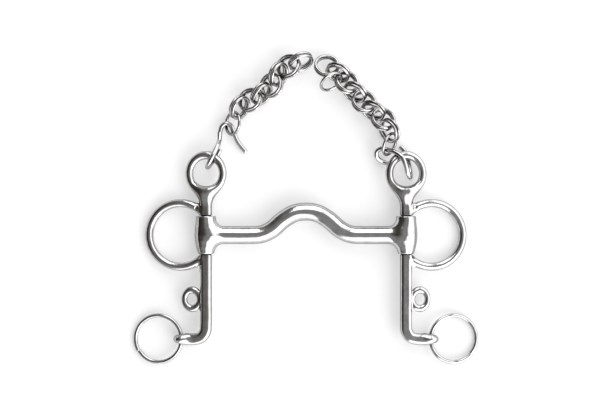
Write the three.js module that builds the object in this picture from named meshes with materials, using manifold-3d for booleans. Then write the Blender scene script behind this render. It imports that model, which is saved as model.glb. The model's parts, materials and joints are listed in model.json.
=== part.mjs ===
// Pelham curb bit with a ported mouthpiece, turning cheeks, curb hooks and a double-link curb chain.
// Millimetres, +X across the mouth from the left cheek to the right cheek as seen from above, +Y up the
// cheeks, +Z up off the surface the bit lies on. The whole bit is modelled lying flat.
import * as THREE from "three";
import Module from "manifold-3d";

const wasm = await Module();
wasm.setup();

// ---------- driving dimensions ----------
const CHEEK_X = 70; // cheek pin axis from the middle
const AXIS_Z = 8; // height of the mouthpiece and pin axes above the surface
const CHEEK_TILT = 7.4; // degrees each cheek leans outward and down onto its side ring

const BAR_R = 6.2; // mouthpiece bar
const PORT_RISE = 16.4; // centre line of the port above the arms
const SLEEVE_HALF = 13.3;
const SLEEVE_BORE_R = 3.28;
const PIN_R = 3.2;
const END_GAP = 0.3;

const SHANK_W = 8;
const SHANK_T = 7;
const SHANK_EDGE = 1.8; // rounding of the shank's edges
const SHANK_FOOT_Y = -73; // middle of the turned-out foot
const LOWER_SHANK = [
  [0, -13.6], [0, -40], [0, -62], [0.5, -67.5], [3.4, -71.6], [8.5, SHANK_FOOT_Y], [17.5, SHANK_FOOT_Y],
];
const FOOT_H = 6.4;
const REIN_EYE_X = 17.5;
const REIN_EYE_R = 5.7;
const REIN_HOLE_R = 2.75;

const UPPER_RING_Y = 43;
const UPPER_RING_R = 11.9;
const UPPER_RING_WIRE = 2.7;
const UPPER_RING_STRETCH = 1.08; // the hole is a little taller than wide

const SIDE_RING_X = 18.2;
const SIDE_RING_R = 22.3;
const SIDE_RING_WIRE = 2.8;
const WELD_X = SHANK_W / 2 + 0.12; // face where rings meet the shank's side

const STRAP_EYE_X = 9.9;
const STRAP_EYE_Y = -45;
const STRAP_EYE_R = 5.5;
const STRAP_EYE_WIRE = 2.1;
const STRAP_EYE_STRETCH = 1.18;

const REIN_RING_R = 16.5;
const REIN_RING_WIRE = 1.45;
const REIN_RING_TILT = 7.6; // degrees it leans from its hole down to the surface

const HOOK_WIRE = 1.7;

const LINK_R = 8; // chain link, middle of the wire
const LINK_WIRE = 1.15;
const PAIR_STEP = 2.65; // between the two links of a pair
const PAIRS = 15;
const PARTED_AFTER = 8; // the chain is parted after this pair, so that each half hangs from its own hook
const PARTED_STEP = 18.65; // between the two pairs that lie side by side at the parting
const LINK_Z = 9; // height of the chain's middle line
const FLAT_ROLL = 32; // degrees an even pair leans about the chain
const FLAT_PITCH = 10;
const UPRIGHT_YAW = 14; // degrees an odd pair turns about the vertical
const LINK_WOBBLE = 2; // degrees of irregular lean along the chain

// middle line of the chain from the right end link to the left end link
const CHAIN_ROUTE = [
  [58, 64], [58.4, 72.5], [54.8, 80], [48.3, 85.8], [39.8, 94], [31.8, 102.6], [23.8, 112.5],
  [11.2, 119.6], [-4.2, 121], [-17.5, 114.5], [-24.5, 104.5], [-33, 97.5], [-44, 91.5], [-52.3, 82.2],
];

// centre lines of the two curb hooks, from the cut end of the eye to the free tip
const LEFT_HOOK = [
  [-60.1, 60.2, 3.4], [-63.4, 54.6, 3.6], [-67.2, 49.4, 4.8], [-68.9, 47.4, 8.6], [-67.6, 50.2, 13.0],
  [-64.9, 55.6, 13.7], [-62.2, 61.3, 11.2], [-60.7, 66.5, 6.8], [-60.4, 72.0, 4.9], [-58.8, 76.6, 4.7],
  [-55.7, 78.2, 4.7], [-52.6, 76.4, 4.6], [-50.8, 72.2, 4.0], [-47.7, 65.0, 2.6], [-42.2, 58.0, 2.0],
];
const RIGHT_HOOK = [
  [66.4, 62.4, 2.1], [69.0, 59.4, 2.1], [71.0, 54.8, 2.2], [72.6, 48.4, 2.8], [73.4, 43.0, 4.6],
  [72.8, 40.4, 8.2], [71.2, 42.8, 12.0], [69.2, 48.8, 14.1], [66.6, 54.6, 14.4], [62.2, 57.8, 12.0],
  [57.2, 59.6, 9.2], [52.8, 60.4, 7.6], [49.7, 58.6, 6.4], [49.5, 55.2, 5.2], [52.2, 52.3, 3.6],
  [57.0, 50.2, 2.2],
];

// ---------- helpers ----------
function rad(degrees) {
  return (degrees * Math.PI) / 180;
}

function toSolid(geometry) {
  const flat = geometry.index ? geometry.toNonIndexed() : geometry;
  const position = flat.getAttribute("position");
  const seen = new Map();
  const vertProperties = [];
  const triVerts = [];
  for (let i = 0; i < position.count; i += 1) {
    const p = [position.getX(i), position.getY(i), position.getZ(i)];
    const key = p.map((v) => Math.round(v * 1e4)).join(",");
    if (!seen.has(key)) {
      seen.set(key, seen.size);
      vertProperties.push(...p);
    }
    triVerts.push(seen.get(key));
  }
  const kept = [];
  for (let i = 0; i < triVerts.length; i += 3) {
    const [a, b, c] = triVerts.slice(i, i + 3);
    if (a !== b && b !== c && c !== a) {
      kept.push(a, b, c);
    }
  }
  const mesh = new wasm.Mesh({
    numProp: 3,
    vertProperties: new Float32Array(vertProperties),
    triVerts: new Uint32Array(kept),
  });
  return new wasm.Manifold(mesh);
}

function toGeometry(solid) {
  const mesh = solid.getMesh();
  const geometry = new THREE.BufferGeometry();
  geometry.setAttribute("position", new THREE.BufferAttribute(new Float32Array(mesh.vertProperties), 3));
  geometry.setIndex(new THREE.BufferAttribute(new Uint32Array(mesh.triVerts), 1));
  return geometry;
}

function mirroredX(geometry) {
  const copy = geometry.clone();
  copy.scale(-1, 1, 1);
  const index = copy.getIndex();
  for (let i = 0; i < index.count; i += 3) {
    const a = index.getX(i);
    index.setX(i, index.getX(i + 2));
    index.setX(i + 2, a);
  }
  return copy;
}

function circle(radius, count) {
  const shape = new THREE.Shape();
  for (let i = 0; i < count; i += 1) {
    const a = (i / count) * 2 * Math.PI;
    const point = [radius * Math.cos(a), radius * Math.sin(a)];
    if (i === 0) {
      shape.moveTo(...point);
    } else {
      shape.lineTo(...point);
    }
  }
  shape.closePath();
  return shape;
}

function tube(points, radius, steps, sides) {
  const path = new THREE.CatmullRomCurve3(
    points.map((p) => new THREE.Vector3(...p)),
    false,
    "centripetal",
  );
  return new THREE.ExtrudeGeometry(circle(radius, sides), { steps, bevelEnabled: false, extrudePath: path });
}

// rounded rectangle swept along a flat path, wide across the path and SHANK_T deep in Z
function shankSweep(points, steps) {
  const w = SHANK_W / 2;
  const t = SHANK_T / 2;
  const e = SHANK_EDGE;
  const f = SHANK_EDGE * 0.3;
  const shape = new THREE.Shape();
  shape.moveTo(-t + e, -w);
  const corners = [[t - e, -w], [t - f, -w + f], [t, -w + e], [t, w - e], [t - f, w - f], [t - e, w]];
  for (const [x, y] of corners) {
    shape.lineTo(x, y);
  }
  for (const [x, y] of corners) {
    shape.lineTo(-x, -y);
  }
  const path = new THREE.CatmullRomCurve3(
    points.map(([x, y]) => new THREE.Vector3(x, y, 0)),
    false,
    "centripetal",
  );
  return new THREE.ExtrudeGeometry(shape, { steps, bevelEnabled: false, extrudePath: path });
}

function lathe(profile, segments) {
  const points = profile.map((p) => new THREE.Vector2(...p));
  points.push(points[0].clone());
  return new THREE.LatheGeometry(points, segments);
}

// ---------- mouthpiece ----------
function sleeve(side) {
  const profile = [
    [SLEEVE_BORE_R, -SLEEVE_HALF], [5.2, -SLEEVE_HALF], [5.7, -SLEEVE_HALF + 0.6], [6.8, -8.5],
    [7.7, -4], [8, 0], [7.7, 4.5], [7.1, 9.5], [6.9, SLEEVE_HALF - 0.6], [6.4, SLEEVE_HALF],
    [SLEEVE_BORE_R, SLEEVE_HALF],
  ];
  const geometry = lathe(profile, 48);
  geometry.translate(side * CHEEK_X, 0, AXIS_Z);
  return toSolid(geometry);
}

function mouthpiece() {
  const centreLine = [
    [-65, 0], [-52, 0], [-40, 0], [-31.5, 0.5], [-24, 3.8], [-16, 10.6], [-8, 15.2], [0, PORT_RISE],
    [8, 15.2], [16, 10.6], [24, 3.8], [31.5, 0.5], [40, 0], [52, 0], [65, 0],
  ];
  let solid = toSolid(tube(centreLine.map(([x, y]) => [x, y, AXIS_Z]), BAR_R, 40, 16));
  for (const side of [-1, 1]) {
    const flare = lathe([[0, 0], [BAR_R - 0.3, 0], [6.5, 5], [7.2, 9], [7.4, 10.5], [0, 10.5]], 20);
    flare.rotateZ((-side * Math.PI) / 2);
    flare.translate(side * (CHEEK_X - 13), 0, AXIS_Z);
    const bore = new THREE.CylinderGeometry(SLEEVE_BORE_R, SLEEVE_BORE_R, 40, 48);
    bore.translate(side * CHEEK_X, 0, AXIS_Z);
    solid = solid.add(toSolid(flare)).add(sleeve(side)).subtract(toSolid(bore));
  }
  return toGeometry(solid);
}

// ---------- cheek, built with its pin along Y at the origin and its outer side towards +X ----------
// web that widens the neck into the upper ring
function neckWeb() {
  const half = SHANK_W / 2;
  const shape = new THREE.Shape();
  shape.moveTo(-half + 0.4, 20);
  shape.lineTo(half - 0.4, 20);
  shape.quadraticCurveTo(half, 27, 7.6, 32);
  shape.lineTo(-7.6, 32);
  shape.quadraticCurveTo(-half, 27, -half + 0.4, 20);
  const geometry = new THREE.ExtrudeGeometry(shape, { depth: 4.4, bevelEnabled: false, curveSegments: 6 });
  geometry.translate(0, 0, -2.2);
  return geometry;
}

function cheekShank() {
  const ring = new THREE.TorusGeometry(UPPER_RING_R, UPPER_RING_WIRE, 10, 36);
  ring.scale(1, UPPER_RING_STRETCH, 1);
  ring.translate(0, UPPER_RING_Y, 0);
  const pin = new THREE.CylinderGeometry(PIN_R, PIN_R, 2 * SLEEVE_HALF + 4, 48);
  const eye = new THREE.CylinderGeometry(REIN_EYE_R, REIN_EYE_R, FOOT_H, 28);
  eye.translate(REIN_EYE_X, SHANK_FOOT_Y, 0);
  const hole = new THREE.CylinderGeometry(REIN_HOLE_R, REIN_HOLE_R, FOOT_H + 8, 28);
  hole.translate(REIN_EYE_X, SHANK_FOOT_Y, 0);
  const solid = toSolid(ring)
    .add(toSolid(neckWeb()))
    .add(toSolid(shankSweep([[0, SLEEVE_HALF + END_GAP], [0, UPPER_RING_Y - UPPER_RING_R]], 1)))
    .add(toSolid(pin))
    .add(toSolid(shankSweep(LOWER_SHANK, 24)))
    .add(toSolid(eye))
    .subtract(toSolid(hole));
  return toGeometry(solid);
}

function outsideWeldFace(geometry) {
  const keep = new THREE.BoxGeometry(80, 80, 40);
  keep.translate(WELD_X + 40, 0, 0);
  return toSolid(geometry).intersect(toSolid(keep));
}

function sideRing() {
  const ring = new THREE.TorusGeometry(SIDE_RING_R, SIDE_RING_WIRE, 10, 48);
  ring.translate(SIDE_RING_X, 0, 0);
  return toGeometry(outsideWeldFace(ring));
}

function strapEye() {
  const ring = new THREE.TorusGeometry(STRAP_EYE_R, STRAP_EYE_WIRE, 8, 24);
  ring.scale(1, STRAP_EYE_STRETCH, 1);
  ring.translate(STRAP_EYE_X, 0, 0);
  const geometry = toGeometry(outsideWeldFace(ring));
  geometry.translate(0, STRAP_EYE_Y, 0);
  return geometry;
}

function placeOnCheek(geometry, side) {
  const copy = side > 0 ? geometry.clone() : mirroredX(geometry);
  copy.rotateY(side * rad(CHEEK_TILT));
  copy.translate(side * CHEEK_X, 0, AXIS_Z);
  return copy;
}

function reinRing(side) {
  const tilt = rad(CHEEK_TILT);
  const ring = new THREE.TorusGeometry(REIN_RING_R, REIN_RING_WIRE, 8, 36);
  ring.translate(REIN_RING_R, 0, 0);
  ring.rotateY(rad(REIN_RING_TILT));
  ring.translate(CHEEK_X + REIN_EYE_X * Math.cos(tilt), SHANK_FOOT_Y, AXIS_Z - REIN_EYE_X * Math.sin(tilt));
  return side > 0 ? ring : mirroredX(ring);
}

// ---------- curb chain ----------
const route = new THREE.CatmullRomCurve3(
  CHAIN_ROUTE.map(([x, y]) => new THREE.Vector3(x, y, LINK_Z)),
  false,
  "centripetal",
);

// share of the route at which pair k lies
function stationOf(k) {
  const length = route.getLength();
  const step = (length - PARTED_STEP) / PAIRS;
  const extra = k > PARTED_AFTER ? PARTED_STEP - step : 0;
  return (k * step + extra) / length;
}

function chainFrame(k) {
  const u = stationOf(k);
  const point = route.getPointAt(u);
  const tangent = route.getTangentAt(u);
  const along = Math.atan2(tangent.y, tangent.x);
  const even = k % 2 === 0;
  const roll = (even ? FLAT_ROLL : FLAT_ROLL + 90) + LINK_WOBBLE * Math.sin(1.3 * k);
  const matrix = new THREE.Matrix4().makeRotationZ(along + (even ? 0 : rad(UPRIGHT_YAW)));
  matrix.multiply(new THREE.Matrix4().makeRotationY(even ? rad(FLAT_PITCH) : 0));
  matrix.multiply(new THREE.Matrix4().makeRotationX(rad(roll)));
  matrix.setPosition(point);
  return matrix;
}

function link(matrix, offset) {
  const ring = new THREE.TorusGeometry(LINK_R, LINK_WIRE, 6, 18);
  ring.translate(0, 0, offset);
  ring.applyMatrix4(matrix);
  return ring;
}

function facing(centre, normal) {
  const quaternion = new THREE.Quaternion().setFromUnitVectors(
    new THREE.Vector3(0, 0, 1),
    new THREE.Vector3(...normal).normalize(),
  );
  return new THREE.Matrix4().makeRotationFromQuaternion(quaternion).setPosition(...centre);
}

const RIGHT_END_LINK = facing([58.5, 63.6, 9.0], [0.8, -0.34, 0.5]);
const LEFT_END_LINK = facing([-51.3, 78.3, 7.6], [-0.78, 0.08, 0.61]);
const FLY_LINK = facing([17.5, 107.0, 12.6], [0.45, -0.71, 0.54]);

// ---------- assembly ----------
const STEEL = { color: 0xc9cbcd, roughness: 0.18, metalness: 1 };
const bit = new THREE.Group();

function addPiece(name, geometry) {
  const mesh = new THREE.Mesh(geometry, new THREE.MeshStandardMaterial(STEEL));
  mesh.name = name;
  bit.add(mesh);
}

addPiece("mouthpiece", mouthpiece());
const SIDES = [["left", -1, LEFT_HOOK], ["right", 1, RIGHT_HOOK]];
const shank = cheekShank();
const cheekRing = sideRing();
const eyeForStrap = strapEye();
for (const [name, side, hook] of SIDES) {
  addPiece(`${name}_cheek_shank`, placeOnCheek(shank, side));
  addPiece(`${name}_side_ring`, placeOnCheek(cheekRing, side));
  addPiece(`${name}_lip_strap_eye`, placeOnCheek(eyeForStrap, side));
  addPiece(`${name}_rein_ring`, reinRing(side));
  addPiece(`${name}_curb_hook`, tube(hook, HOOK_WIRE, 44, 8));
}
addPiece("chain_right_end_link", link(RIGHT_END_LINK, 0));
for (let k = 1; k <= PAIRS; k += 1) {
  const frame = chainFrame(k);
  const number = String(k).padStart(2, "0");
  addPiece(`chain_pair_${number}_a`, link(frame, -PAIR_STEP / 2));
  addPiece(`chain_pair_${number}_b`, link(frame, PAIR_STEP / 2));
}
addPiece("chain_left_end_link", link(LEFT_END_LINK, 0));
addPiece("chain_fly_link", link(FLY_LINK, 0));

// the origin is the middle of the bounding box, at its base
const bounds = new THREE.Box3().setFromObject(bit, true);
const middle = bounds.getCenter(new THREE.Vector3());
for (const mesh of bit.children) {
  mesh.geometry.translate(-middle.x, -middle.y, -bounds.min.z);
}

export default bit;
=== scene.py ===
# Looks of a Pelham curb bit lying on a white table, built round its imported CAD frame.
# Shapes are worked out in millimetres and become metres when a mesh is made.
import json
import math

import bpy
import numpy as np
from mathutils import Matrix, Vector


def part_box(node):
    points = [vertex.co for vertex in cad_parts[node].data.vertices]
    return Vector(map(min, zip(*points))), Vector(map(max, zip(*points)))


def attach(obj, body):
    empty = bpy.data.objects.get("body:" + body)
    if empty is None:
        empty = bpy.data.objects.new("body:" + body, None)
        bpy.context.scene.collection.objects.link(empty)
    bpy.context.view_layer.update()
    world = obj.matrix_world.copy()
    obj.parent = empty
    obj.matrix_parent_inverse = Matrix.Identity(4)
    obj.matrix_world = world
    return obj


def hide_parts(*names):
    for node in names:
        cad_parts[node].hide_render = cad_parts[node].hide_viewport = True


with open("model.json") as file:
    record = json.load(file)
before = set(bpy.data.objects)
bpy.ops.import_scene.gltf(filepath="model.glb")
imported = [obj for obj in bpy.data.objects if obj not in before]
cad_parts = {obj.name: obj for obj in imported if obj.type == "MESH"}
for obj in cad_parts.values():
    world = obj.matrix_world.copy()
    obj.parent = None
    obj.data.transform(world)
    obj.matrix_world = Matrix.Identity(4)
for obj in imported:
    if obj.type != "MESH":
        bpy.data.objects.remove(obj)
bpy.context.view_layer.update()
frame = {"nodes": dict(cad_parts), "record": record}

MM = 0.001

# ---------- driving dimensions, as in the CAD source ----------
CHEEK_X = 70.0
AXIS_Z = 8.0
CHEEK_TILT = math.radians(7.4)
BAR_R = 6.2
SLEEVE_HALF = 13.3
BORE_R = 3.28
PIN_R = 3.2
SHOULDER_Y = 13.6  # where the shank meets the end of the sleeve
SHANK_HALF_W = 4.0
SHANK_HALF_T = 3.5
SHANK_EDGE = 2.7
NECK_TOP = 31.0  # the neck ends inside the wire of the upper ring
SLEEVE_ROOM_X = 4.6  # the sleeve turns in here, so nothing but the pin runs through
PIN_OVERLAP = 1.0  # how far each end of the pin runs into the cheek
LOWER_SHANK = [
    (0, -13.6), (0, -40), (0, -62), (0.5, -67.5), (3.4, -71.6), (8.5, -73), (17.5, -73),
]
FOOT_Y = -73.0
REIN_EYE_X = 17.5
REIN_EYE_R = 5.7
REIN_EYE_HALF_H = 3.2
LENS_RISE = 0.2  # the smooth eye is this much taller than the faceted one
REIN_HOLE_R = 2.75
UPPER_RING_Y = 43.0
UPPER_RING_R = 11.9
UPPER_RING_WIRE = 2.7
UPPER_RING_STRETCH = 1.08
SIDE_RING_X = 18.2
SIDE_RING_R = 22.3
SIDE_RING_WIRE = 2.8
STRAP_EYE_X = 9.9
STRAP_EYE_Y = -45.0
STRAP_EYE_R = 5.5
STRAP_EYE_WIRE = 2.1
STRAP_EYE_STRETCH = 1.18
RING_ROOT_X = 2.6  # welded rings end inside the shank, this far from its middle
ROOT_CENTRES = [(4.2, -17.4, 0), (4.2, 17.4, 0), (4.2, -50.2, 0), (4.2, -39.8, 0)]
ROOT_R = 1.6  # balls that join the welded rings to the shank before the grid is laid
SLEEVE_INNER_X = 55.0  # beyond this the bar is inside a sleeve

# ---------- wires, as shares of what is measured on the faceted CAD rings ----------
HOOK_WIRE = 1.62  # millimetres; a round wire with the section area of the faceted one
LINK_SECTION = 0.9
LINK_REACH = 0.99
REIN_SECTION = 0.985
REIN_REACH = 0.994  # keeps the joint of each ring inside the CAD's box
REIN_SEAMS = {"left": 0.8, "right": 2.6}  # angle of the joint round the ring
LINK_SEAM_STEP = 2.4  # from link to link, so that no two joints lie alike
JOINT_SPAN = np.array([-0.09, -0.045, -0.02, 0.0, 0.02, 0.045, 0.09]) * 8  # millimetres of wire
GROOVE_FALL = 0.7  # how fast the groove at a joint dies out
STEP_FALL = 14  # and how fast the step between the two ends does, round the ring

# ---------- welds, as (from, to, radius) ----------
SIDE_WELDS = [
    ((4.2, -19.6, 0), (5.2, -24.2, 0), 1.7),
    ((4.2, 19.2, 0), (5.0, 21.4, 0), 1.5),
]
STRAP_WELD = ((4.2, -51.6, 0), (5.4, -53.4, 0), 1.2)
WELD_PITS = [
    ((5.1, -15.6, 1.8), (5.1, -15.6, 4.5), 1.25),
    ((6.7, 18.0, 2.3), (6.2, 20.4, 3.4), 1.0),
]

# ---------- widths of fillets and of rounded edges ----------
RING_FILLET = 8.0  # neck into the upper ring
EYE_FILLET = 2.4  # foot into the rein eye
WELD_FILLET = 1.6  # ring into its weld
SIDE_WELD_FILLET = 1.5  # side ring and its welds into the shank
STRAP_WELD_FILLET = 1.1
SLEEVE_FILLET = ((-8, 2), (1.5, 6.5))  # (heights, widths): smaller underneath, off the table
SLEEVE_EDGE = 0.7
END_EDGE = 0.5
FOOT_EDGE = 0.8
EYE_HOLE_EDGE = 0.9
BORE_EDGE = 0.4
CUT_EDGE = 0.3
PIN_EDGE = 0.2

VOXEL = 0.45  # grid of the cast pieces
PROBE = 0.02  # step for the slope of a distance
FLATTEST = 0.3  # least squared slope that a move is worked out with
LONGEST_MOVE = 0.6
CUT_EASE = 0.45  # length over which a cut wire end is eased
CUT_NARROWING = 0.35
CUT_FACE = 0.55  # the flat of a cut end, as a share of the wire's radius
ASKEW = (0.2, 0.9, 0.3)  # a direction that no ring's axis has
ASKEW_START = (0.3, 0.5, 0.8)  # and one that no hook starts in

BAR_LINE = [
    (-65, 0), (-52, 0), (-40, 0), (-31.5, 0.5), (-24, 3.8), (-16, 10.6), (-8, 15.2), (0, 16.4),
    (8, 15.2), (16, 10.6), (24, 3.8), (31.5, 0.5), (40, 0), (52, 0), (65, 0),
]
SLEEVE_PROFILE = [  # (along the pin, radius)
    (-13.3, 5.4), (-12.4, 5.7), (-8.5, 6.8), (-4, 7.7), (0, 8), (4.5, 7.7), (9.5, 7.1),
    (12.7, 6.9), (13.3, 6.7),
]
LEFT_HOOK = [
    (-60.1, 60.2, 3.4), (-63.4, 54.6, 3.6), (-67.2, 49.4, 4.8), (-68.9, 47.4, 8.6),
    (-67.6, 50.2, 13.0), (-64.9, 55.6, 13.7), (-62.2, 61.3, 11.2), (-60.7, 66.5, 6.8),
    (-60.4, 72.0, 4.9), (-58.8, 76.6, 4.7), (-55.7, 78.2, 4.7), (-52.6, 76.4, 4.6),
    (-50.8, 72.2, 4.0), (-47.7, 65.0, 2.6), (-42.2, 58.0, 2.0),
]
RIGHT_HOOK = [
    (66.4, 62.4, 2.1), (69.0, 59.4, 2.1), (71.0, 54.8, 2.2), (72.6, 48.4, 2.8),
    (73.4, 43.0, 4.6), (72.8, 40.4, 8.2), (71.2, 42.8, 12.0), (69.2, 48.8, 14.1),
    (66.6, 54.6, 14.4), (62.2, 57.8, 12.0), (57.2, 59.6, 9.2), (52.8, 60.4, 7.6),
    (49.7, 58.6, 6.4), (49.5, 55.2, 5.2), (52.2, 52.3, 3.6), (57.0, 50.2, 2.2),
]

# The frame's origin is the middle of the whole bit. The design's own origin is midway between the
# pins and level with the bottom of the sleeves, so it is found from the mouthpiece.
MOUTHPIECE_LOW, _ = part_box("mouthpiece")
ORIGIN = np.array([0.0, MOUTHPIECE_LOW.y / MM + SLEEVE_HALF, MOUTHPIECE_LOW.z / MM])


# ---------- curves and distances ----------
def smooth_path(points, per_span):
    """Centripetal Catmull-Rom curve through the points."""
    p = np.array(points, float)
    p = np.vstack([2 * p[0] - p[1], p, 2 * p[-1] - p[-2]])
    out = []
    for i in range(1, len(p) - 2):
        a, b, c, d = p[i - 1], p[i], p[i + 1], p[i + 2]
        t0 = 0.0
        t1 = t0 + np.linalg.norm(b - a) ** 0.5
        t2 = t1 + np.linalg.norm(c - b) ** 0.5
        t3 = t2 + np.linalg.norm(d - c) ** 0.5
        for t in np.linspace(t1, t2, per_span, endpoint=False):
            ab = a + (b - a) * (t - t0) / (t1 - t0)
            bc = b + (c - b) * (t - t1) / (t2 - t1)
            cd = c + (d - c) * (t - t2) / (t3 - t2)
            abc = ab + (bc - ab) * (t - t0) / (t2 - t0)
            bcd = bc + (cd - bc) * (t - t1) / (t3 - t1)
            out.append(abc + (bcd - abc) * (t - t1) / (t2 - t1))
    out.append(p[-2])
    return np.array(out)


def distance_to_path(q, path):
    """Distance in the plane from each point of q to a chain of straight stretches."""
    best = np.full(len(q), 1e9)
    for a, b in zip(path[:-1], path[1:]):
        along = b - a
        t = np.clip(((q - a) @ along) / (along @ along), 0, 1)
        best = np.minimum(best, np.linalg.norm(q - a - t[:, None] * along, axis=1))
    return best


def union(a, b, k):
    """Join of two distances with a fillet about k wide."""
    h = np.clip(0.5 + 0.5 * (b - a) / k, 0, 1)
    return b * (1 - h) + a * h - k * h * (1 - h)


def keep(a, b, k):
    """Part of a that is also in b, with an edge rounded by about k."""
    return -union(-a, -b, k)


def rounded_bar(u, z):
    """Distance to the shank's section, from the sideways and upward offsets."""
    x = np.abs(u) - (SHANK_HALF_W - SHANK_EDGE)
    y = np.abs(z) - (SHANK_HALF_T - SHANK_EDGE)
    outside = np.hypot(np.maximum(x, 0), np.maximum(y, 0))
    return outside + np.minimum(np.maximum(x, y), 0) - SHANK_EDGE


def ring(p, x, y, radius, wire, stretch):
    """Distance to a flat ring, drawn out along Y by stretch."""
    across = np.hypot(p[:, 0] - x, (p[:, 1] - y) / stretch) - radius
    return np.hypot(across, p[:, 2]) - wire


def capsule(p, a, b, radius):
    """Distance to a round stick from a to b."""
    a, b = np.array(a, float), np.array(b, float)
    t = np.clip(((p - a) @ (b - a)) / ((b - a) @ (b - a)), 0, 1)
    return np.linalg.norm(p - a - t[:, None] * (b - a), axis=1) - radius


# ---------- the two cast shapes ----------
SHANK_PATH = smooth_path(LOWER_SHANK, 7)
BAR_PATH = smooth_path(BAR_LINE, 5)


def cheek_distance(p):
    """Cheek with its pin along Y at the origin and its outer side towards +X."""
    x, y, z = p.T
    lower = rounded_bar(distance_to_path(p[:, :2], SHANK_PATH), z)
    lower = keep(lower, y + SHOULDER_Y, END_EDGE)
    neck = keep(rounded_bar(x, z), np.maximum(SHOULDER_Y - y, y - NECK_TOP), END_EDGE)
    upper = ring(p, 0, UPPER_RING_Y, UPPER_RING_R, UPPER_RING_WIRE, UPPER_RING_STRETCH)
    upper = union(neck, upper, RING_FILLET)

    eye = np.hypot((x - REIN_EYE_X) / REIN_EYE_R, z / REIN_EYE_R)
    rise = (y - FOOT_Y) / (REIN_EYE_HALF_H + LENS_RISE)
    lens = (np.sqrt(eye**2 + rise**2) - 1) * REIN_EYE_HALF_H
    lower = union(keep(lower, x - REIN_EYE_X, FOOT_EDGE), lens, EYE_FILLET)
    hole = REIN_HOLE_R - np.hypot(x - REIN_EYE_X, z)
    lower = keep(lower, hole, EYE_HOLE_EDGE)

    side = ring(p, SIDE_RING_X, 0, SIDE_RING_R, SIDE_RING_WIRE, 1)
    side = keep(side, RING_ROOT_X - x, CUT_EDGE)
    side = union(side, np.minimum(*(capsule(p, *weld) for weld in SIDE_WELDS)), WELD_FILLET)
    strap = ring(p, STRAP_EYE_X, STRAP_EYE_Y, STRAP_EYE_R, STRAP_EYE_WIRE, STRAP_EYE_STRETCH)
    strap = keep(strap, RING_ROOT_X - x, CUT_EDGE)
    strap = union(strap, capsule(p, *STRAP_WELD), WELD_FILLET)

    body = union(np.minimum(upper, lower), side, SIDE_WELD_FILLET)
    body = union(body, strap, STRAP_WELD_FILLET)
    pits = np.minimum(*(capsule(p, *pit) for pit in WELD_PITS))
    body = keep(body, -pits, CUT_EDGE)
    shoulders = np.maximum(SHOULDER_Y - np.abs(y), 0) * (x < SLEEVE_ROOM_X)
    body = np.where(shoulders > 0, np.maximum(body, shoulders), body)
    pin = keep(np.hypot(x, z) - PIN_R, np.abs(y) - SHOULDER_Y - PIN_OVERLAP, PIN_EDGE)
    return np.minimum(body, pin)


def mouthpiece_distance(p):
    """Bar, port and the two sleeves, with the pin bores left open."""
    x, y, z = p.T
    bar = np.hypot(distance_to_path(p[:, :2], BAR_PATH), z) - BAR_R
    from_pin = np.hypot(np.abs(x) - CHEEK_X, z)
    profile = np.array(SLEEVE_PROFILE)
    wall = from_pin - np.interp(y, profile[:, 0], profile[:, 1])
    past_end = np.abs(y) - SLEEVE_HALF
    sleeve = keep(wall, past_end, SLEEVE_EDGE)
    body = union(bar, sleeve, np.interp(z, *SLEEVE_FILLET))
    body = np.where(np.abs(x) > SLEEVE_INNER_X, keep(body, past_end, END_EDGE), body)
    return keep(body, BORE_R - from_pin, BORE_EDGE)


# ---------- meshes ----------
def to_cheek(p):
    """Millimetres of the whole bit to the right cheek's own frame."""
    q = p - ORIGIN
    x = q[:, 0] - CHEEK_X
    z = q[:, 2] - AXIS_Z
    c, s = math.cos(CHEEK_TILT), math.sin(CHEEK_TILT)
    return np.column_stack([x * c - z * s, q[:, 1], x * s + z * c])


def from_cheek(p, side):
    """The cheek's own frame back to millimetres of the whole bit."""
    c, s = math.cos(CHEEK_TILT), math.sin(CHEEK_TILT)
    x = p[:, 0] * c + p[:, 2] * s + CHEEK_X
    z = -p[:, 0] * s + p[:, 2] * c + AXIS_Z
    return np.column_stack([x * side, p[:, 1], z]) + ORIGIN


def new_piece(name, vertices_mm, faces, body, nodes, material):
    """Smooth-shaded piece that rides on a body and stands for CAD nodes."""
    mesh = bpy.data.meshes.new(name)
    mesh.from_pydata((np.asarray(vertices_mm) * MM).tolist(), [], faces)
    mesh.polygons.foreach_set("use_smooth", [True] * len(mesh.polygons))
    mesh.update()
    mesh.materials.append(material)
    piece = bpy.data.objects.new(name, mesh)
    bpy.context.scene.collection.objects.link(piece)
    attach(piece, body)
    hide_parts(*nodes)


def mesh_arrays(mesh):
    """Vertices in millimetres and faces of a mesh."""
    vertices = np.zeros(len(mesh.vertices) * 3)
    mesh.vertices.foreach_get("co", vertices)
    return vertices.reshape(-1, 3) / MM, [list(f.vertices) for f in mesh.polygons]


def voxel_shell(meshes):
    """Even grid of faces over the union of closed meshes, given as (vertices in mm, faces)."""
    vertices, faces, start = [], [], 0
    for v, f in meshes:
        vertices.append(np.asarray(v))
        faces += [[i + start for i in face] for face in f]
        start += len(v)
    mesh = bpy.data.meshes.new("shell")
    mesh.from_pydata((np.vstack(vertices) * MM).tolist(), [], faces)
    holder = bpy.data.objects.new("shell", mesh)
    bpy.context.scene.collection.objects.link(holder)
    modifier = holder.modifiers.new("grid", "REMESH")
    modifier.mode = "VOXEL"
    modifier.voxel_size = VOXEL * MM
    graph = bpy.context.evaluated_depsgraph_get()
    result = mesh_arrays(holder.evaluated_get(graph).to_mesh())
    bpy.data.objects.remove(holder)
    bpy.data.meshes.remove(mesh)
    return result


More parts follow.
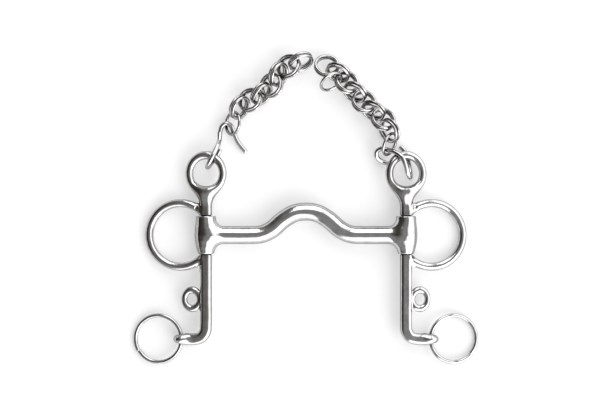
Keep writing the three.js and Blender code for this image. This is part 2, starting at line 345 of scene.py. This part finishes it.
def ball(centre, radius, rings=8, sides=12):
    """Closed ball that joins two pieces before the grid is laid over them."""
    vertices = [np.array(centre) + (0, 0, radius)]
    for i in range(1, rings):
        a = math.pi * i / rings
        for j in range(sides):
            b = 2 * math.pi * j / sides
            offset = np.array([math.sin(a) * math.cos(b), math.sin(a) * math.sin(b), math.cos(a)])
            vertices.append(np.array(centre) + radius * offset)
    vertices.append(np.array(centre) - (0, 0, radius))
    faces = []
    for j in range(sides):
        k = (j + 1) % sides
        faces.append([0, 1 + j, 1 + k])
        for i in range(rings - 2):
            a, b = 1 + i * sides, 1 + (i + 1) * sides
            faces.append([a + j, b + j, b + k, a + k])
        a = 1 + (rings - 2) * sides
        faces.append([a + j, len(vertices) - 1, a + k])
    return np.array(vertices), faces


def settle(vertices, faces, distance, passes=4):
    """Evens the grid out and brings it onto the surface where distance is zero."""
    edges = {tuple(sorted((f[i], f[i - 1]))) for f in faces for i in range(len(f))}
    edges = np.array(sorted(edges))
    count = np.bincount(edges.ravel(), minlength=len(vertices))[:, None]

    def slope(p, axis):
        return (distance(p + PROBE * axis) - distance(p - PROBE * axis)) / (2 * PROBE)

    def project(p, times):
        for _ in range(times):
            slopes = np.column_stack([slope(p, axis) for axis in np.eye(3)])
            size = np.maximum((slopes * slopes).sum(1), FLATTEST)
            move = np.clip(distance(p) / size, -LONGEST_MOVE, LONGEST_MOVE)
            p = p - move[:, None] * slopes
        return p

    p = project(vertices, 3)
    for _ in range(passes):
        total = np.zeros_like(p)
        np.add.at(total, edges[:, 0], p[edges[:, 1]])
        np.add.at(total, edges[:, 1], p[edges[:, 0]])
        p = project(p * 0.5 + 0.5 * total / count, 1)
    return project(p, 2)


def sweep_frames(path):
    """Two steady cross directions at each point of an open path."""
    tangent = np.gradient(path, axis=0)
    tangent /= np.linalg.norm(tangent, axis=1)[:, None]
    first = np.cross(tangent[0], ASKEW_START)
    sides = [first / np.linalg.norm(first)]
    for t in tangent[1:]:
        s = sides[-1] - t * (sides[-1] @ t)
        sides.append(s / np.linalg.norm(s))
    sides = np.array(sides)
    return sides, np.cross(tangent, sides)


def wire_along(points, radius, sides=20, per_span=12):
    """Round wire along a path, with both cut ends eased over."""
    inner = smooth_path(points, per_span)
    nudge = 0.01  # share of a step that the ends are moved out, so that each still has a direction
    start = inner[:1] + nudge * (inner[0] - inner[1])
    end = inner[-1:] + nudge * (inner[-1] - inner[-2])
    u, v = sweep_frames(np.vstack([start, inner, end]))
    path = np.vstack([inner[:1], inner, inner[-1:]])  # each end twice: the cut face and its rim
    reach = np.concatenate([[0], np.cumsum(np.linalg.norm(np.diff(path, axis=0), axis=1))])
    to_end = np.minimum(reach, reach[-1] - reach)
    eased = (1 - np.clip(to_end / CUT_EASE, 0, 1)) ** 2 * CUT_NARROWING
    size = radius * np.sqrt(np.clip(1 - eased, 0, 1))
    size[0] = size[-1] = radius * CUT_FACE
    angle = np.linspace(0, 2 * math.pi, sides, endpoint=False)
    rings = path[:, None] + size[:, None, None] * (
        np.cos(angle)[None, :, None] * u[:, None] + np.sin(angle)[None, :, None] * v[:, None]
    )
    faces = []
    n = len(path)
    for i in range(n - 1):
        for j in range(sides):
            k = (j + 1) % sides
            here, there = i * sides, (i + 1) * sides
            faces.append([here + j, here + k, there + k, there + j])
    faces.append(list(range(sides))[::-1])
    faces.append([(n - 1) * sides + j for j in range(sides)])
    return rings.reshape(-1, 3), faces


def ring_facts(node):
    """Centre, unit axis, radius and wire radius of a ring node, in millimetres of the whole bit."""
    p, _ = mesh_arrays(frame["nodes"][node].data)
    centre = np.unique(p.round(4), axis=0).mean(0)
    _, _, axes = np.linalg.svd(p - centre, full_matrices=False)
    axis = axes[2] * (1 if axes[2][2] >= 0 else -1)  # always upwards, so a seam stays where it is
    offset = (p - centre) - np.outer((p - centre) @ axis, axis)
    reach = np.linalg.norm(offset, axis=1)
    return centre, axis, (reach.max() + reach.min()) / 2, (reach.max() - reach.min()) / 2


def bent_ring(node, seam, reach_share, section, steps=96, sides=16, groove=0.14, step_out=0.0):
    """Ring bent from wire, with the butt joint of its two ends at the angle seam.

    The groove is how deep the joint is, and step_out how far its two ends stand apart, both as
    shares of the wire's radius.
    """
    centre, axis, radius, wire = ring_facts(node)
    radius *= reach_share
    wire *= section
    u = np.cross(axis, ASKEW)
    u /= np.linalg.norm(u)
    v = np.cross(axis, u)
    near = JOINT_SPAN / radius
    rest = np.linspace(near[-1], 2 * math.pi + near[0], steps)[1:-1]
    turn = np.concatenate([near, rest])
    depth = groove * np.exp(-((near / near[4]) ** 2) * GROOVE_FALL)
    pinch = np.concatenate([1 - depth, np.ones(len(rest))])
    fade = np.linspace(0, 1, len(rest))
    at_joint = np.where(near < 0, 1, -1) * (np.abs(near) > 0)
    beyond = -np.exp(-fade * STEP_FALL) + np.exp(-(1 - fade) * STEP_FALL)
    shift = step_out * wire * np.concatenate([at_joint, beyond])
    around = np.linspace(0, 2 * math.pi, sides, endpoint=False)
    angle = turn + seam
    out = np.cos(angle)[:, None] * u + np.sin(angle)[:, None] * v
    reach = radius + shift[:, None] + wire * pinch[:, None] * np.cos(around)[None]
    height = wire * pinch[:, None] * np.sin(around)[None]
    p = centre + reach[..., None] * out[:, None] + height[..., None] * axis
    n = len(turn)
    faces = []
    for i in range(n):
        for j in range(sides):
            k = (j + 1) % sides
            here, there = i * sides, (i + 1) % n * sides
            faces.append([here + j, there + j, there + k, here + k])
    return p.reshape(-1, 3), faces


# ---------- shader nodes ----------
def add(tree, kind, **values):
    """New node, with each value set as a setting of the node or else as its input."""
    node = tree.nodes.new(kind)
    for name, value in values.items():
        if hasattr(node, name):
            setattr(node, name, value)
        else:
            node.inputs[name.replace("_", " ")].default_value = value
    return node


def fed(tree, source, kind, socket="Vector", **values):
    """New node with source linked into one of its inputs."""
    node = add(tree, kind, **values)
    tree.links.new(source, node.inputs[socket])
    return node


def mapped(tree, value, given, wanted):
    """Value moved from one range to another and held there."""
    limits = {"From_Min": given[0], "From_Max": given[1], "To_Min": wanted[0], "To_Max": wanted[1]}
    return fed(tree, value, "ShaderNodeMapRange", "Value", **limits).outputs["Result"]


def combined(tree, operation, first, second):
    node = fed(tree, first, "ShaderNodeMath", 0, operation=operation)
    tree.links.new(second, node.inputs[1])
    return node.outputs["Value"]


def ramp(tree, value, stops):
    """Colours along a value, given as (place, colour)."""
    node = fed(tree, value, "ShaderNodeValToRGB", "Fac")
    elements = node.color_ramp.elements
    for place, _ in stops[2:]:
        elements.new(place)
    for element, (place, colour) in zip(elements, stops):
        element.position = place
        element.color = (*colour, 1)
    return node.outputs["Color"]


def strokes(tree, place, scale, detail):
    """Noise drawn out along Y, the way the pieces are polished."""
    stretch = fed(tree, place, "ShaderNodeMapping", Scale=scale)
    noise = fed(tree, stretch.outputs["Vector"], "ShaderNodeTexNoise", Scale=1.0, Detail=detail)
    return noise.outputs["Fac"]


def bumped(tree, height, strength, distance, below=None):
    """Bump of a height in metres, laid over the bump below it."""
    node = fed(tree, height, "ShaderNodeBump", "Height", Strength=strength, Distance=distance)
    if below is not None:
        tree.links.new(below, node.inputs["Normal"])
    return node.outputs["Normal"]


# ---------- materials ----------
FINE_LINES = (5200, 260, 5200)  # scales of the noises, per metre
LONG_STROKES = (850, 45, 850)
CLOUD_SCALE = 210.0
SPECK_SCALE = 520.0
STROKE_DEPTH = 0.00016  # metres
LINE_DEPTH = 0.00003
DENT_DEPTH = 0.00025
SHADE_REACH = 0.005  # how near another surface has to be for the painted shade to darken the colour


def steel(name, light, dark, smooth, rough, lines, dents):
    """Bright stainless steel: polishing lines, faint dents, dull specks, and painted shade in
    corners.
    """
    material = bpy.data.materials.new(name)
    material.use_nodes = True
    tree = material.node_tree
    shader = tree.nodes["Principled BSDF"]
    shader.inputs["Metallic"].default_value = 1.0
    # steel dims just before the edge
    shader.inputs["Specular Tint"].default_value = (0.3, 0.3, 0.3, 1)
    place = add(tree, "ShaderNodeTexCoord").outputs["Object"]
    fine = strokes(tree, place, FINE_LINES, detail=3.0)
    long = strokes(tree, place, LONG_STROKES, detail=2.0)
    cloud = fed(
        tree, place, "ShaderNodeTexNoise", Scale=CLOUD_SCALE, Detail=4.0, Roughness=0.6
    ).outputs["Fac"]
    specks = fed(tree, place, "ShaderNodeTexVoronoi", Scale=SPECK_SCALE).outputs["Distance"]

    # colour: cloudy tarnish, and painted shade that darkens it where pieces touch and other
    # surfaces are near
    tone = ramp(tree, cloud, [(0.3, dark), (0.62, light)])
    occlusion = add(tree, "ShaderNodeAmbientOcclusion", samples=6, Distance=SHADE_REACH)
    painted_shade = mapped(tree, occlusion.outputs["AO"], (0.35, 0.92), (0.04, 1.0))
    # painted shade: ambient occlusion scales the base colour down, to 4% in the deepest corners
    shaded_tone = fed(tree, tone, "ShaderNodeVectorMath", 0, operation="SCALE")
    tree.links.new(painted_shade, shaded_tone.inputs["Scale"])
    tree.links.new(shaded_tone.outputs["Vector"], shader.inputs["Base Color"])

    # gloss: duller along the lines and on the specks
    gloss = combined(tree, "MULTIPLY", cloud, fine)
    gloss = mapped(tree, gloss, (0.12, 0.42), (smooth, rough))
    dull = mapped(tree, specks, (0.0, 0.09), (0.22, 0.0))
    tree.links.new(combined(tree, "ADD", gloss, dull), shader.inputs["Roughness"])

    # surface: long strokes, fine lines over them, and dents over both
    surface = bumped(tree, long, lines, STROKE_DEPTH)
    surface = bumped(tree, fine, lines, LINE_DEPTH, surface)
    surface = bumped(tree, cloud, dents, DENT_DEPTH, surface)
    tree.links.new(surface, shader.inputs["Normal"])
    return material


CAST = steel(
    "cast_stainless", light=(0.62, 0.62, 0.625), dark=(0.5, 0.49, 0.485),
    smooth=0.05, rough=0.17, lines=0.25, dents=0.12,
)
WIRE = steel(
    "drawn_wire_stainless", light=(0.63, 0.63, 0.635), dark=(0.52, 0.515, 0.51),
    smooth=0.04, rough=0.13, lines=0.2, dents=0.06,
)
CHAIN = steel(
    "tumbled_chain_stainless", light=(0.56, 0.558, 0.555), dark=(0.3, 0.29, 0.28),
    smooth=0.05, rough=0.15, lines=0.3, dents=0.16,
)


# ---------- pieces ----------
def make_mouthpiece():
    base, faces = voxel_shell([mesh_arrays(frame["nodes"]["mouthpiece"].data)])
    p = settle(base - ORIGIN - (0, 0, AXIS_Z), faces, mouthpiece_distance)
    made = p + ORIGIN + (0, 0, AXIS_Z)
    nodes = ["mouthpiece"]
    new_piece("ported_mouthpiece", made, faces, "mouthpiece", nodes, CAST)


def make_cheeks():
    """The right cheek is shaped from its CAD solids, and the left one is its mirror."""
    nodes = ["cheek_shank", "side_ring", "lip_strap_eye"]
    solids = []
    for node in nodes:
        base, faces = mesh_arrays(frame["nodes"][f"right_{node}"].data)
        solids.append((to_cheek(base), faces))
    for centre in ROOT_CENTRES:
        solids.append(ball(centre, ROOT_R))
    base, faces = voxel_shell(solids)
    p = settle(base, faces, cheek_distance)
    for name, side in (("left", -1), ("right", 1)):
        made = from_cheek(p, side)
        order = faces if side > 0 else [f[::-1] for f in faces]
        stands_for = [f"{name}_{node}" for node in nodes]
        body = f"{name}_cheek"
        new_piece(body, made, order, body, stands_for, CAST)


def make_hooks():
    for name, points in (("left", LEFT_HOOK), ("right", RIGHT_HOOK)):
        vertices, faces = wire_along(points, HOOK_WIRE)
        node = f"{name}_curb_hook"
        new_piece(f"{node}_wire", vertices + ORIGIN, faces, node, [node], WIRE)


def make_rings():
    for name, seam in REIN_SEAMS.items():
        node = f"{name}_rein_ring"
        vertices, faces = bent_ring(
            node, seam, REIN_REACH, REIN_SECTION, steps=150, sides=20, groove=0.22, step_out=0.16
        )
        new_piece(f"{node}_wire", vertices, faces, node, [node], WIRE)


def make_chain():
    bodies = frame["record"]["behaviour"]["bodies"].items()
    links = [(body, node) for body, nodes in bodies for node in nodes if node.startswith("chain_")]
    for i, (body, node) in enumerate(sorted(links)):
        vertices, faces = bent_ring(node, LINK_SEAM_STEP * i, LINK_REACH, LINK_SECTION)
        new_piece(f"{node}_wire", vertices, faces, body, [node], CHAIN)


make_mouthpiece()
make_cheeks()
make_hooks()
make_rings()
make_chain()


# ---------- table, light and camera ----------
def make_table():
    """White table top. Its own faint glow keeps the shadows pale, as on a lit paper table."""
    half = 2.5  # metres
    corners = [(-half, -half, 0), (half, -half, 0), (half, half, 0), (-half, half, 0)]
    mesh = bpy.data.meshes.new("table")
    mesh.from_pydata(corners, [], [[0, 1, 2, 3]])
    material = bpy.data.materials.new("white_table")
    material.use_nodes = True
    shader = material.node_tree.nodes["Principled BSDF"]
    shader.inputs["Base Color"].default_value = (0.5, 0.5, 0.5, 1)
    shader.inputs["Roughness"].default_value = 0.9
    shader.inputs["Specular IOR Level"].default_value = 0.1
    shader.inputs["Emission Color"].default_value = (1, 1, 1, 1)
    shader.inputs["Emission Strength"].default_value = 0.46
    mesh.materials.append(material)
    table = bpy.data.objects.new("table", mesh)
    bpy.context.scene.collection.objects.link(table)


def softbox(name, place, size, power):
    """Panel of light that faces the middle of the bit. Place and size are in metres."""
    data = bpy.data.lights.new(name, "AREA")
    data.shape = "RECTANGLE"
    data.size, data.size_y = size
    data.energy = power
    light = bpy.data.objects.new(name, data)
    light.location = place
    light.rotation_mode = "QUATERNION"
    light.rotation_quaternion = (-Vector(place)).to_track_quat("-Z", "Y")
    light.visible_camera = False
    bpy.context.scene.collection.objects.link(light)


ROOM_LEANS = [(0.19, 0.06, 0), (0.17, -0.19, 0)]  # to the right, and to the lower right
ROOM_MIDDLE = 0.5  # place on the ramp of what is straight overhead
ROOM_STOPS = [  # (place, brightness, warmth)
    (0.3, 0.02, 0.2), (0.42, 0.07, 0.15), (0.47, 0.22, 0.03), (0.52, 0.34, 0.0),
    (0.585, 0.3, 0.0), (0.615, 2.1, 0.0), (0.72, 1.8, 0.0),
]


def make_room():
    """Room light: bright to the right and in front, grey overhead, dark and a little brown left."""
    world = bpy.data.worlds.new("room")
    bpy.context.scene.world = world
    world.use_nodes = True
    tree = world.node_tree
    place = add(tree, "ShaderNodeTexCoord").outputs["Generated"]
    leans = []
    for side in ROOM_LEANS:
        lean = fed(tree, place, "ShaderNodeVectorMath", 0, operation="DOT_PRODUCT")
        lean.inputs[1].default_value = side
        leans.append(lean.outputs["Value"])
    widest = combined(tree, "MAXIMUM", *leans)
    shifted = fed(tree, widest, "ShaderNodeMath", 0, operation="ADD")
    shifted.inputs[1].default_value = ROOM_MIDDLE
    stops = [(at, (v * (1 + warm), v, v * (1 - warm))) for at, v, warm in ROOM_STOPS]
    colour = ramp(tree, shifted.outputs["Value"], stops)
    tree.links.new(colour, tree.nodes["Background"].inputs["Color"])
    tree.nodes["Background"].inputs["Strength"].default_value = 1.0


def make_camera():
    """Camera straight above the bit, in metres."""
    height = 0.008  # of the plane that the picture is framed on
    wide = 0.42  # how much of that plane the picture takes in across
    distance = 0.99
    aim_x, aim_y = -0.0042, 0.0231  # middle of the picture, from the pins' line
    sensor = 36
    data = bpy.data.cameras.new("camera")
    data.sensor_width = sensor
    data.lens = sensor * distance / wide
    camera = bpy.data.objects.new("camera", data)
    camera.location = (aim_x, aim_y + ORIGIN[1] * MM, height + distance)
    bpy.context.scene.collection.objects.link(camera)
    bpy.context.scene.camera = camera


make_table()
make_room()
softbox("key", (0.95, -0.95, 0.8), (1.1, 1.1), 12)
# the bright band on the far side of the bar
softbox("bar_panel", (0.01, 0.45, 0.32), (0.34, 0.54), 1.2)
make_camera()
bpy.context.scene.view_settings.view_transform = "Standard"
